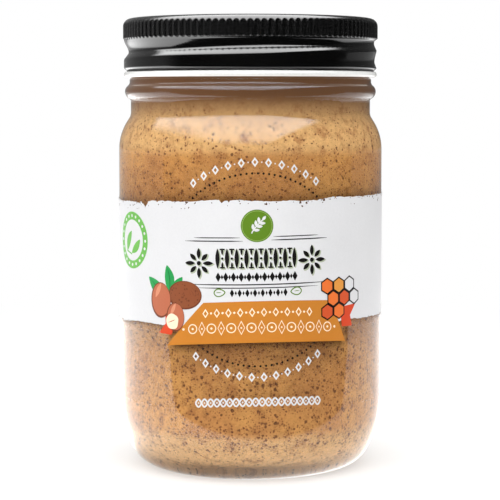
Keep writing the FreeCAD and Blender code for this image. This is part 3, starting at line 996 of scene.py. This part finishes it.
def tornEdge(along, points, seed, sense):
    # a torn edge: its own points joined, four sizes of value noise, and sharp nicks bitten inwards
    draw = np.random.default_rng(seed)
    edge = np.interp(along, *np.array(points).T)
    for step, tall in band["ragged"]:
        knots = np.arange(-halfWrap - step, halfWrap + 2 * step, step)
        edge = edge + tall * np.interp(along, knots, draw.uniform(-1, 1, len(knots)))
    place = draw.uniform(-halfWrap, halfWrap, band["nicks"])[:, None]
    deep = draw.uniform(*band["nickDeep"], band["nicks"])[:, None] ** 2
    wide = draw.uniform(*band["nickWide"], band["nicks"])[:, None]
    nicks = deep * np.clip(1 - np.abs(along - place) / wide, 0, 1)
    return edge - sense * nicks.max(axis=0)


def makeBand():
    # a white band all the way round between two torn edges, one deep drip in its top edge
    along = np.linspace(-halfWrap, halfWrap, 1400)
    drip = np.clip(1 - np.abs(along - band["dripAt"]) / band["dripWide"], 0, 1) ** 0.7
    top = tornEdge(along, band["top"], 4, 1) - band["dripDeep"] * drip
    bottom = tornEdge(along, band["bottom"], 9, -1)
    share = np.linspace(0, 1, 5)[:, None]
    points = onWall(along + 0 * share, bottom + (top - bottom) * share, 2)
    printInk("bandPrint", "white", [(points, False, None, None)])
    return along, top, bottom


def makeFlecks(along, top):
    # small dark crumbs scattered along the band's top edge, thicker near it
    draw = np.random.default_rng(21)
    shapes = []
    for k in range(band["flecks"]):
        a = draw.uniform(-halfWrap + 1, halfWrap - 1)
        drop = band["fleckDrop"][0] + band["fleckDrop"][1] * draw.uniform(0, 1) ** 2.2
        size = draw.uniform(*band["fleckSizes"][k % 6 > 0])
        b = np.interp(a, along, top) - drop
        shapes.append(disc(a, b, size, 3, rim=rough(k, 0.5), columns=10, place=onWall))
    printInk("fleckPrint", "crumb", shapes)


ribbon = {
    "left": ((-26.1, -19.6), (-14.6, -8.4)),     # lower and upper ends of its left side
    "right": ((26.6, -19.4), (21.6, -8.2)),
    "tailLeft": ((-29.0, -17.6), (-24.6, -17.9), (-21.6, -11.6), (-26.6, -12.2)),
    "tailRight": ((25.4, -16.6), (29.4, -16.8), (30.9, -10.8), (24.6, -11.2)),
}


def makeRibbon():
    # a broad ribbon on a shallow arch with slanting ends, and a notched tail behind each end
    left, right = np.array(ribbon["left"]), np.array(ribbon["right"])
    share = np.linspace(0, 1, 6)[:, None, None]
    way = np.linspace(0, 1, 90)[None, :, None]
    points = (left[0] + (left[1] - left[0]) * share) * (1 - way)
    points = points + (right[0] + (right[1] - right[0]) * share) * way
    printInk("ribbonPrint", "ribbon", [(onArch(points[..., 0], points[..., 1], 5), False, None, None)])
    tails = []
    for corner, notch in ((ribbon["tailLeft"], 1.3), (ribbon["tailRight"], -1.5)):
        low, lowFar, highFar, high = np.array(corner)
        across = np.linspace(0, 1, 7)[None, :, None]
        up = np.linspace(0, 1, 9)[:, None, None]
        points = (low + (lowFar - low) * across) * (1 - up) + (high + (highFar - high) * across) * up
        pull = (1 - np.abs(2 * up - 1)) * notch * ((1 - across) if notch > 0 else across)
        tails.append((onLabel(points[..., 0] + pull[..., 0], points[..., 1], 4), False, None, None))
    printInk("ribbonTails", "tail", tails)


ribbonMarks = {
    "upper": -11.3,                  # heights of the two rows
    "lower": -15.4,
    "ends": (-20.6, 22.6),           # the single dots at the ends of the lower row
}


def makeRibbonMarks():
    # two plain ornament rows in cream: solid lozenges over a chain of outlined rounds and lozenges
    shapes = []
    upper, lower = ribbonMarks["upper"], ribbonMarks["lower"]
    for k, a in row(-14.0, 28.6, 19):
        if k % 2:
            shapes.append(disc(a, upper, 0.3, 6, place=onArch, columns=12))
        else:
            size = lozenge(0.85, 1.25)
            shapes.append(disc(a, upper, 1.0, 6, rim=size, columns=16, place=onArch, hole=0.6))
    for k, a in row(-17.8, 38.0, 15):
        if k % 2:
            shapes.append(disc(a, lower, 1.0, 6, rim=lozenge(1.0, 1.95), columns=24, place=onArch, hole=0.8))
            shapes.append(disc(a, lower, 0.24, 6, place=onArch, columns=10))
        else:
            shapes.append(disc(a, lower, 1.35, 6, place=onArch, columns=28, hole=1.08))
            shapes.append(disc(a, lower, 0.32, 6, place=onArch, columns=12))
    for a in ribbonMarks["ends"]:
        shapes.append(disc(a, lower, 0.36, 6, place=onArch, columns=12))
    printInk("ribbonMarks", "cream", shapes)


roundel = {
    "a": 0.35,                       # its middle
    "b": 11.9,
    "radius": 4.35,
    "line": 4.05,                    # outer and inner radius of the pale hairline
    "lineInside": 3.93,
    "stemWide": 3.0,                 # how far the sprig's stem runs to the right and up
    "stemTall": 3.6,
    "stemLow": 2.0,                  # from the middle down to the stem's foot
}


def onStem(way):
    # a place on the sprig's stem, which rises with the power 0.8 of the way along
    return (roundel["a"] - roundel["stemWide"] / 2 + roundel["stemWide"] * way,
            roundel["b"] - roundel["stemLow"] + roundel["stemTall"] * way ** 0.8)


def makeRoundel():
    # a green disc with a pale hairline inside its edge and a white sprig
    a, b = roundel["a"], roundel["b"]
    line = disc(a, b, roundel["line"], 5, columns=64, hole=roundel["lineInside"])
    printInk("discPrint", "green", [disc(a, b, roundel["radius"], 4, columns=64)])
    printInk("discLine", "paleGreen", [line])
    sprig = [stroke(*onStem(np.linspace(0, 1, 12)), 0.32, 5)]
    for way in (0.16, 0.42, 0.68):
        for side in (1, -1):
            sprig.append(leaf(*onStem(way), 1.75, 0.85, 48 + side * 46, 6))
    sprig.append(leaf(a + 1.4, b + 1.45, 1.5, 0.8, 50, 6))
    printInk("sprigPrint", "white", sprig)


garlandSize = {
    "middle": 3.2,                   # height of the row's middle
    "tall": 5.5,
    "count": 9,
    "reach": 20.8,
    "rosettes": ((-15.7, 1.9), (15.5, 2.3)),
    "petals": 8,
    "petalFrom": 1.1,                # from a rosette's middle to the foot of a petal
}


def garland(layer, shiftA, shiftB, grow):
    # a bold row of upright leaves with short slanting pairs between, and an open rosette at each end
    shapes = []
    tall, count, reach = garlandSize["tall"], garlandSize["count"], garlandSize["reach"]
    middle = garlandSize["middle"] + shiftB
    petals = garlandSize["petals"]
    for k, a in row(shiftA - reach / 2, reach, count):
        shapes.append(leaf(a, middle - tall / 2, tall + grow, 1.2 + grow, 90, layer))
        if k == count - 1:
            continue
        between = a + reach / (count - 1) / 2
        for up in (-1, 1):
            shapes.append(leaf(between, middle + up * 0.9, 1.9 + grow, 0.6 + grow, 90 * up, layer))
            bar = middle + up * (tall / 2 - 0.3) + np.zeros(3)
            shapes.append(stroke(between + np.linspace(-0.7, 0.7, 3), bar, 0.4 + grow, layer))
        shapes.append(disc(between, middle, 0.34 + grow / 2, layer, columns=12))
    for a, b in garlandSize["rosettes"]:
        for k in range(petals):
            aside, up = around(garlandSize["petalFrom"], tau * k / petals)
            shapes.append(leaf(a + shiftA + aside, b + shiftB + up, 3.0 - 0.5 * (k % 2) + grow, 1.15 + grow,
                               360 / petals * k, layer))
        shapes.append(disc(a + shiftA, b + shiftB, 0.6 + grow, layer))
    return shapes


darkLines = {
    # each row of small marks: first place, length, count, height, large and small lozenge, columns
    "rows": ((-10.3, 20.8, 21, -1.8, (0.72, 1.3), (0.36, 0.7), 16),
             (-6.6, 14.4, 15, -6.1, (0.58, 1.1), (0.3, 0.6), 12)),
    # each hairline: middle, height, length, width
    "rules": ((-11.6, 7.85, 16.2, 0.3), (-10.6, 8.75, 12.8, 0.26), (12.2, 8.05, 16.2, 0.3),
              (11.1, 8.95, 12.8, 0.26), (0.4, -3.85, 40.0, 0.3), (0.3, -4.75, 34.0, 0.26)),
}


def makeDarkPrint():
    # the garland and its soft shadow, two rows of small marks under it, hairline rules above and below,
    # and an outlined leaf at each end of the lower row
    printInk("garlandShadow", "softShadow", garland(3, 0.28, -0.26, 0.12))
    shapes = garland(4, 0.0, 0.0, 0.0)
    for first, length, count, b, large, small, columns in darkLines["rows"]:
        for k, a in row(first, length, count):
            shapes.append(disc(a, b, 1.0, 4, rim=lozenge(*(small if k % 2 else large)), columns=columns))
    shapes += [rule(a, b, length, width, 4) for a, b, length, width in darkLines["rules"]]
    printInk("darkPrint", "dark", shapes)
    leaves = [leafOutline(-10.0, -6.0, 3.0, 2.0, 4, 0.3, 4), leafOutline(10.8, -5.9, 3.0, 2.0, 184, 0.3, 4),
              leaf(-11.0, -6.0, 1.6, 0.2, 4, 4), leaf(10.2, -5.9, 1.6, 0.2, 4, 4)]
    printInk("leafLines", "green", leaves)


dotRing = {
    "radius": 25.9,
    "count": 108,
    "above": 18.9,                   # dots show above this height and below the next
    "below": -20.2,
}


def makeRing():
    # a ring of small dark dots that shows above the band and below the ribbon
    shapes = []
    for k in range(dotRing["count"]):
        a, b = around(dotRing["radius"], tau * (k + 0.5) / dotRing["count"])
        if b > dotRing["above"] or b < dotRing["below"]:
            shapes.append(disc(a, b, 0.32, 1, columns=10))
    printInk("ringDots", "dark", shapes)


whiteRows = {
    "radius": 28.9,
    "reach": 36,                     # degrees that a curved row runs to each side of its middle
    "curved": ((90, 11), (-90, 12)), # middle in degrees and count of lozenges
    "plaitFrom": -17.3,
    "plaitLong": 35.0,
    "plaitHeight": -35.6,
    "plaitWave": 1.05,
    "plaitTurns": 10,
    "plaitDots": 20,
}


def makeWhiteMarks():
    # two curved rows of small outlined lozenges with dots between, and a plaited row below them
    shapes = []
    reach = whiteRows["reach"]
    for middle, count in whiteRows["curved"]:
        for k, angle in row(middle - reach, 2 * reach, 2 * count - 1):
            a, b = around(whiteRows["radius"], math.radians(angle))
            if k % 2:
                shapes.append(disc(a, b, 0.2, 1, columns=8))
            else:
                shapes.append(disc(a, b, 1.0, 1, rim=lozenge(0.95, 1.3), columns=16, hole=0.48))
    first, length, b = whiteRows["plaitFrom"], whiteRows["plaitLong"], whiteRows["plaitHeight"]
    way = np.linspace(0, 1, 150)
    for phase in (0, math.pi):
        wave = whiteRows["plaitWave"] * np.sin(way * whiteRows["plaitTurns"] * tau + phase)
        shapes.append(stroke(first + length * way, b + wave, 0.45, 1, place=onArch))
    for k in range(whiteRows["plaitDots"]):
        a = first + length * (k + 0.5) / whiteRows["plaitDots"]
        shapes.append(disc(a, b, 0.24, 1, columns=8, place=onArch))
    printInk("whiteMarks", "white", shapes)


def makeLeftMotif():
    # three round nuts under two broad leaves
    nuts = ((-20.2, -6.9, 4.5), (-28.2, -8.6, 4.2), (-23.2, -13.0, 3.4))
    printInk("motifLeaves", "leaf", [leaf(-25.6, -7.2, 8.6, 3.4, 146, 5, bend=0.5),
                                     leaf(-25.0, -6.6, 7.8, 3.2, 96, 5, bend=-0.5),
                                     leaf(-24.6, -7.0, 6.4, 2.6, 52, 5)])
    printInk("motifVeins", "leafDeep", [leaf(-25.8, -7.0, 7.4, 0.4, 146, 6, bend=0.5),
                                        leaf(-25.0, -6.2, 6.8, 0.4, 96, 6, bend=-0.5)])
    wideness = {"husk": 1.16, "nutWarm": 0.86}
    prints = {"nut": [], "husk": [], "nutWarm": [], "nutPale": [], "cream": []}
    for k, ((a, b, size), tone) in enumerate(zip(nuts, ("husk", "nutWarm", "nutWarm"))):
        layer = 6 + k * 0.6
        wide = wideness[tone]
        prints["nut"].append(disc(a, b, size, layer, rim=oval(wide), columns=36))
        prints[tone].append(disc(a + 0.12, b + 0.14, size * 0.92, layer + 0.2, rim=oval(wide), columns=36))
        if tone == "husk":
            draw = np.random.default_rng(5)
            for pit in range(34):
                turnBy, reach = draw.uniform(0, tau), size * 0.82 * draw.uniform(0, 1) ** 0.6
                aside, up = around(reach, turnBy)
                pitSize = draw.uniform(0.12, 0.3)
                prints["nut"].append(disc(a + aside * wide, b + up / wide, pitSize, layer + 0.4,
                                          rim=rough(pit, 0.4), columns=8))
        else:
            shine = leaf(a - size * 0.45, b + size * 0.15, size * 1.1, size * 0.32, 62, layer + 0.4)
            prints["nutPale"].append(shine)
    prints["cream"].append(disc(-24.2, -14.2, 2.1, 8.2, rim=rough(9, 0.06), columns=28))
    prints["nutWarm"].append(leaf(-25.6, -14.6, 2.6, 0.25, 20, 8.6))
    for tone, shapes in prints.items():
        printInk(tone + "Nuts", tone, shapes)


honeycomb = {
    "a": 22.3,                       # the middle of its first cell
    "b": -8.7,
    "size": 2.35,
    "across": 1.72,                  # from one cell to the next and one row to the next, in cell sizes
    "up": 1.49,
    "face": 0.82,                    # share of a cell that is coloured
}


def makeRightMotif():
    # a patch of honeycomb cells, each a dark hexagon with a smaller coloured one on it
    size = honeycomb["size"]
    dark, tones = [], {"cell": [], "cellDeep": [], "cellWarm": [], "white": []}
    order = ["cell", "cellDeep", "cellWarm", "cell", "cellDeep", "white", "cell", "white"]
    spots = ((0, 0), (1, 0), (0.5, 1), (-0.5, 1), (-0.5, -1), (1.5, 1), (0.5, -1), (2, 0))
    for (column, level), tone in zip(spots, order):
        a = honeycomb["a"] + column * size * honeycomb["across"]
        b = honeycomb["b"] + level * size * honeycomb["up"]
        dark.append(disc(a, b, size, 7, rim=corners(6, tau / 12), columns=24))
        tones[tone].append(disc(a, b, size * honeycomb["face"], 8, rim=corners(6, tau / 12), columns=24))
    printInk("cellEdges", "dark", dark)
    for tone, shapes in tones.items():
        printInk(tone + "Print", tone, shapes)


beadedRing = {
    "a": -41.0,
    "b": 7.2,
    "radius": 7.9,
    "inside": 5.7,
    "beads": 20,
    "beadsAt": 6.8,
    "bead": 0.42,
}


def makeSeal():
    # a green ring with white beads round a leaf sprig, at the left of the band
    a, b = beadedRing["a"], beadedRing["b"]
    shapes = [disc(a, b, beadedRing["radius"], 4, columns=72, hole=beadedRing["inside"])]
    shapes += [leaf(a - 3.4, b - 3.2, 6.6, 2.5, 62, 4, bend=0.4),
               leaf(a - 0.4, b - 3.6, 6.2, 2.3, 40, 4, bend=-0.4),
               stroke(a + np.linspace(-3.6, -0.2, 9), b - 3.0 - np.linspace(0, 0.9, 9), 0.4, 4)]
    printInk("sealPrint", "sealGreen", shapes)
    beads = []
    for k in range(beadedRing["beads"]):
        aside, up = around(beadedRing["beadsAt"], tau * k / beadedRing["beads"])
        beads.append(disc(a + aside, b + up, beadedRing["bead"], 5, columns=10))
    printInk("sealBeads", "white", beads)


def makeShades(along, bottom):
    # the printed soft shadows under the band and the ribbon: strips whose darkness falls away from the edge
    material, tree, output, place = newMaterial("printedShade")
    depth = tree.nodes.new("ShaderNodeAttribute")
    depth.attribute_name = "shade"
    grain = useGroup(tree, grainGroup, Place=place, Tone=rgb(70, 42, 22), Amount=0.2,
                     Coarse=90.0, Fine=1200.0, Roughness=0.5, Spread=0.1)
    shader = grained(tree, grain, 0.0, Alpha=depth.outputs["Fac"])
    surface(tree, output, shader)
    away = np.linspace(0, 1, 9)[::-1][:, None]
    bandEdge = onWall(along + 0 * away, bottom + 0.2 - 2.2 * away, 0)
    a = np.linspace(ribbon["left"][0][0] + 0.4, ribbon["right"][0][0] + 0.2, 80)
    ribbonEdge = onArch(a + 0 * away, -19.3 - 2.8 * away + 0 * a, 0.6)
    sides = cosStep(0, 3.0, a - a[0]) * cosStep(0, 2.5, a[-1] - a)
    strips = [(edge, False, None, None) for edge in (bandEdge, ribbonEdge)]
    piece = meshPiece("printedShades", strips, material)
    shade = np.concatenate([(0.42 * (1 - away) ** 2 + 0 * along).ravel(),
                            (0.85 * (1 - away) ** 1.4 * sides).ravel()])
    layer = piece.data.attributes.new("shade", "FLOAT", "POINT")
    layer.data.foreach_set("value", shade.astype(np.float32))
    belongs(piece, "label", "label")


makeFilm()
bandAlong, bandTop, bandBottom = makeBand()
makeShades(bandAlong, bandBottom)
makeFlecks(bandAlong, bandTop)
makeRibbon()
makeRibbonMarks()
makeRoundel()
makeDarkPrint()
makeRing()
makeWhiteMarks()
makeLeftMotif()
makeRightMotif()
makeSeal()
print("label made")


view = {
    "sensor": 36.0,                  # millimetres
    "lens": 128.77,
    "place": (-0.0001, -0.5132, 0.10486),
    "tilt": 0.08498,                 # how far it looks down, radians
}


def makeCamera():
    # level with the neck and tilted down a little, square to the front of the label
    data = bpy.data.cameras.new("camera")
    data.sensor_width = view["sensor"]
    data.lens = view["lens"]
    camera = bpy.data.objects.new("camera", data)
    camera.location = view["place"]
    camera.rotation_euler = (math.pi / 2 - view["tilt"], 0, 0)
    scene.collection.objects.link(camera)
    scene.camera = camera


studio = {
    "ambient": 0.12,
    "frontGlow": 0.02,               # brightness of the dark room behind the camera in reflections
    "leftGlow": 0.28,                # of the walls at the left and right
    "rightGlow": 0.08,
    "topGlow": 9.5,                  # of the softbox overhead
    "nearLeft": 3.7,                 # of the lit table near the jar, at the left and right
    "nearRight": 2.0,
    "farLeft": 0.6,                  # and far from it
    "farRight": 0.3,
    "tableTurn": 8.7,                # the table's front edge is turned this many degrees to the right
    "tableEdge": 0.055,              # distance from the jar's axis to the table's front edge
    "underLeft": 0.7,                # of the table in the jar's own shade
    "underRight": 2.2,
    "underNear": 0.030,              # metres from the axis at which that shade ends
    "underFar": 0.052,
    "tableNear": 0.3,                # and at which near turns into far
    "tableFar": 1.1,
    "tableSize": 3.0,
    "fadeNear": 0.05,                # metres between which the table turns white to the eye
    "fadeFar": 0.4,
    "boxAcross": (-2.2, -0.5, 0.95, 0.70),   # edges of the softbox over its height: left pair, right pair
    "boxAlong": (-4.5, -0.3, 0.80, 0.45),    # front pair, back pair
}


def sideGlow(tree, x, name, reach):
    # a value that runs smoothly from its level at the right to its level at the left
    return ramp(tree, x, reach, -reach, studio[name[0]], studio[name[1]])


def frontward(tree, x, y):
    # how far a place or heading lies to the table's front: x times the sine of the table's turn, less
    # y times its cosine
    turnBy = math.radians(studio["tableTurn"])
    return calc(tree, "SUBTRACT", product(tree, x, math.sin(turnBy)), product(tree, y, math.cos(turnBy)))


def between(tree, value, edges):
    # 1 between two pairs of soft edges and 0 outside them
    return product(tree, ramp(tree, value, edges[0], edges[1]), ramp(tree, value, edges[2], edges[3]))


def makeWorld():
    # white to the camera and through glass, an even glow for soft light, and for reflections a room: dark in
    # front, dim walls at the sides and back, a softbox overhead and the far part of the table
    world = bpy.data.worlds.new("studio")
    scene.world = world
    world.use_nodes = True
    tree = world.node_tree
    tree.nodes.clear()
    heading = addNode(tree, "ShaderNodeSeparateXYZ",
                      {"Vector": tree.nodes.new("ShaderNodeTexCoord").outputs["Generated"]})
    x, y, z = heading.outputs
    wall = sideGlow(tree, x, ("rightGlow", "leftGlow"), 0.25)
    ground = sideGlow(tree, x, ("farRight", "farLeft"), 0.25)
    sides = mixValue(tree, ramp(tree, z, -0.03, 0.0), ground, wall)
    front = ramp(tree, frontward(tree, x, y), 0.30, -0.10)
    sides = calc(tree, "MULTIPLY_ADD", sides, front, studio["frontGlow"])
    rise = calc(tree, "MAXIMUM", z, 0.001)
    box = product(tree, between(tree, calc(tree, "DIVIDE", x, rise), studio["boxAcross"]),
                  between(tree, calc(tree, "DIVIDE", y, rise), studio["boxAlong"]),
                  calc(tree, "GREATER_THAN", z, 0.01))
    room = calc(tree, "MULTIPLY_ADD", box, studio["topGlow"], sides)
    path = tree.nodes.new("ShaderNodeLightPath")
    seen = calc(tree, "MAXIMUM", path.outputs["Is Camera Ray"], path.outputs["Is Transmission Ray"])
    glow = mixValue(tree, path.outputs["Is Glossy Ray"], studio["ambient"], room)
    glow = mixValue(tree, seen, glow, 1.0)
    background = addNode(tree, "ShaderNodeBackground", {"Color": (1, 1, 1, 1), "Strength": glow})
    output = tree.nodes.new("ShaderNodeOutputWorld")
    tree.links.new(background.outputs[0], output.inputs["Surface"])
    world.cycles.sampling_method = "NONE"


lamps = {
    # place in metres, side of the softbox, power
    "topLamp": ((0.0, -0.15, 1.0), 1.2, 24.0),
    "leftLamp": ((-0.95, -0.60, 0.30), 0.5, 2.5),
}
lampAim = (0, 0, 0.06)


def addLamp(name, place, size, power):
    # a square softbox aimed at the middle of the jar, kept out of reflections
    data = bpy.data.lights.new(name, "AREA")
    data.shape = "SQUARE"
    data.size = size
    data.energy = power
    lamp = bpy.data.objects.new(name, data)
    lamp.location = place
    aim = np.array(lampAim) - np.array(place)
    level = math.hypot(aim[0], aim[1])
    lamp.rotation_euler = (math.atan2(level, -aim[2]), 0, math.atan2(aim[1], aim[0]) - math.pi / 2)
    lamp.visible_glossy = False
    lamp.visible_camera = False
    lamp.visible_transmission = False
    scene.collection.objects.link(lamp)


def makeFloor():
    # a white table: plain to the eye, and in reflections a bright table that ends in front of the jar
    material, tree, output, place = newMaterial("tableTop")
    grain = useGroup(tree, grainGroup, Place=place, Tone=rgb(231, 231, 230), Amount=0.02,
                     Coarse=12.0, Fine=300.0, Roughness=0.7, Spread=0.1)
    matte = grained(tree, grain, 0.1)
    spot = addNode(tree, "ShaderNodeSeparateXYZ", {"Vector": place}).outputs
    forward = frontward(tree, spot[0], spot[1])
    edge = ramp(tree, forward, studio["tableEdge"] + 0.004, studio["tableEdge"] - 0.004)
    away = addNode(tree, "ShaderNodeVectorMath", {0: place}, operation="LENGTH").outputs["Value"]
    near = sideGlow(tree, spot[0], ("nearRight", "nearLeft"), 0.06)
    far = sideGlow(tree, spot[0], ("farRight", "farLeft"), 0.3)
    level = mixValue(tree, ramp(tree, away, studio["tableNear"], studio["tableFar"]), near, far)
    # painted shadow: in reflections the table is darker close to the jar
    under = sideGlow(tree, spot[0], ("underRight", "underLeft"), 0.02)
    level = mixValue(tree, ramp(tree, away, studio["underNear"], studio["underFar"]), under, level)
    # painted reflection: reflected rays see the table glow at these levels
    shine = calc(tree, "MULTIPLY_ADD", edge, level, studio["frontGlow"])
    glow = addNode(tree, "ShaderNodeEmission", {"Color": (1, 1, 1, 1), "Strength": shine})
    path = tree.nodes.new("ShaderNodeLightPath")
    both = addNode(tree, "ShaderNodeMixShader",
                   {0: path.outputs["Is Glossy Ray"], 1: matte.outputs[0], 2: glow.outputs[0]})
    white = addNode(tree, "ShaderNodeEmission", {"Color": (1, 1, 1, 1), "Strength": 1.0})
    fade = product(tree, ramp(tree, away, studio["fadeNear"], studio["fadeFar"], 0.4, 1.0),
                   path.outputs["Is Camera Ray"])
    total = addNode(tree, "ShaderNodeMixShader", {0: fade, 1: both.outputs[0], 2: white.outputs[0]})
    surface(tree, output, total)
    rings = np.linspace(0.02, studio["tableSize"], 40)[:, None]
    angle = np.arange(64) / 64 * tau
    points = np.stack([rings * np.cos(angle), rings * np.sin(angle), 0 * rings * angle], axis=-1)[::-1]
    table = meshPiece("tableTop", [(points, True, None, (0, 0, 0))], material, smooth=False)


makeCamera()
makeWorld()
for name, (place, size, power) in lamps.items():
    addLamp(name, place, size, power)
makeFloor()
scene.view_settings.view_transform = "Standard"
print("camera, lights and table made")
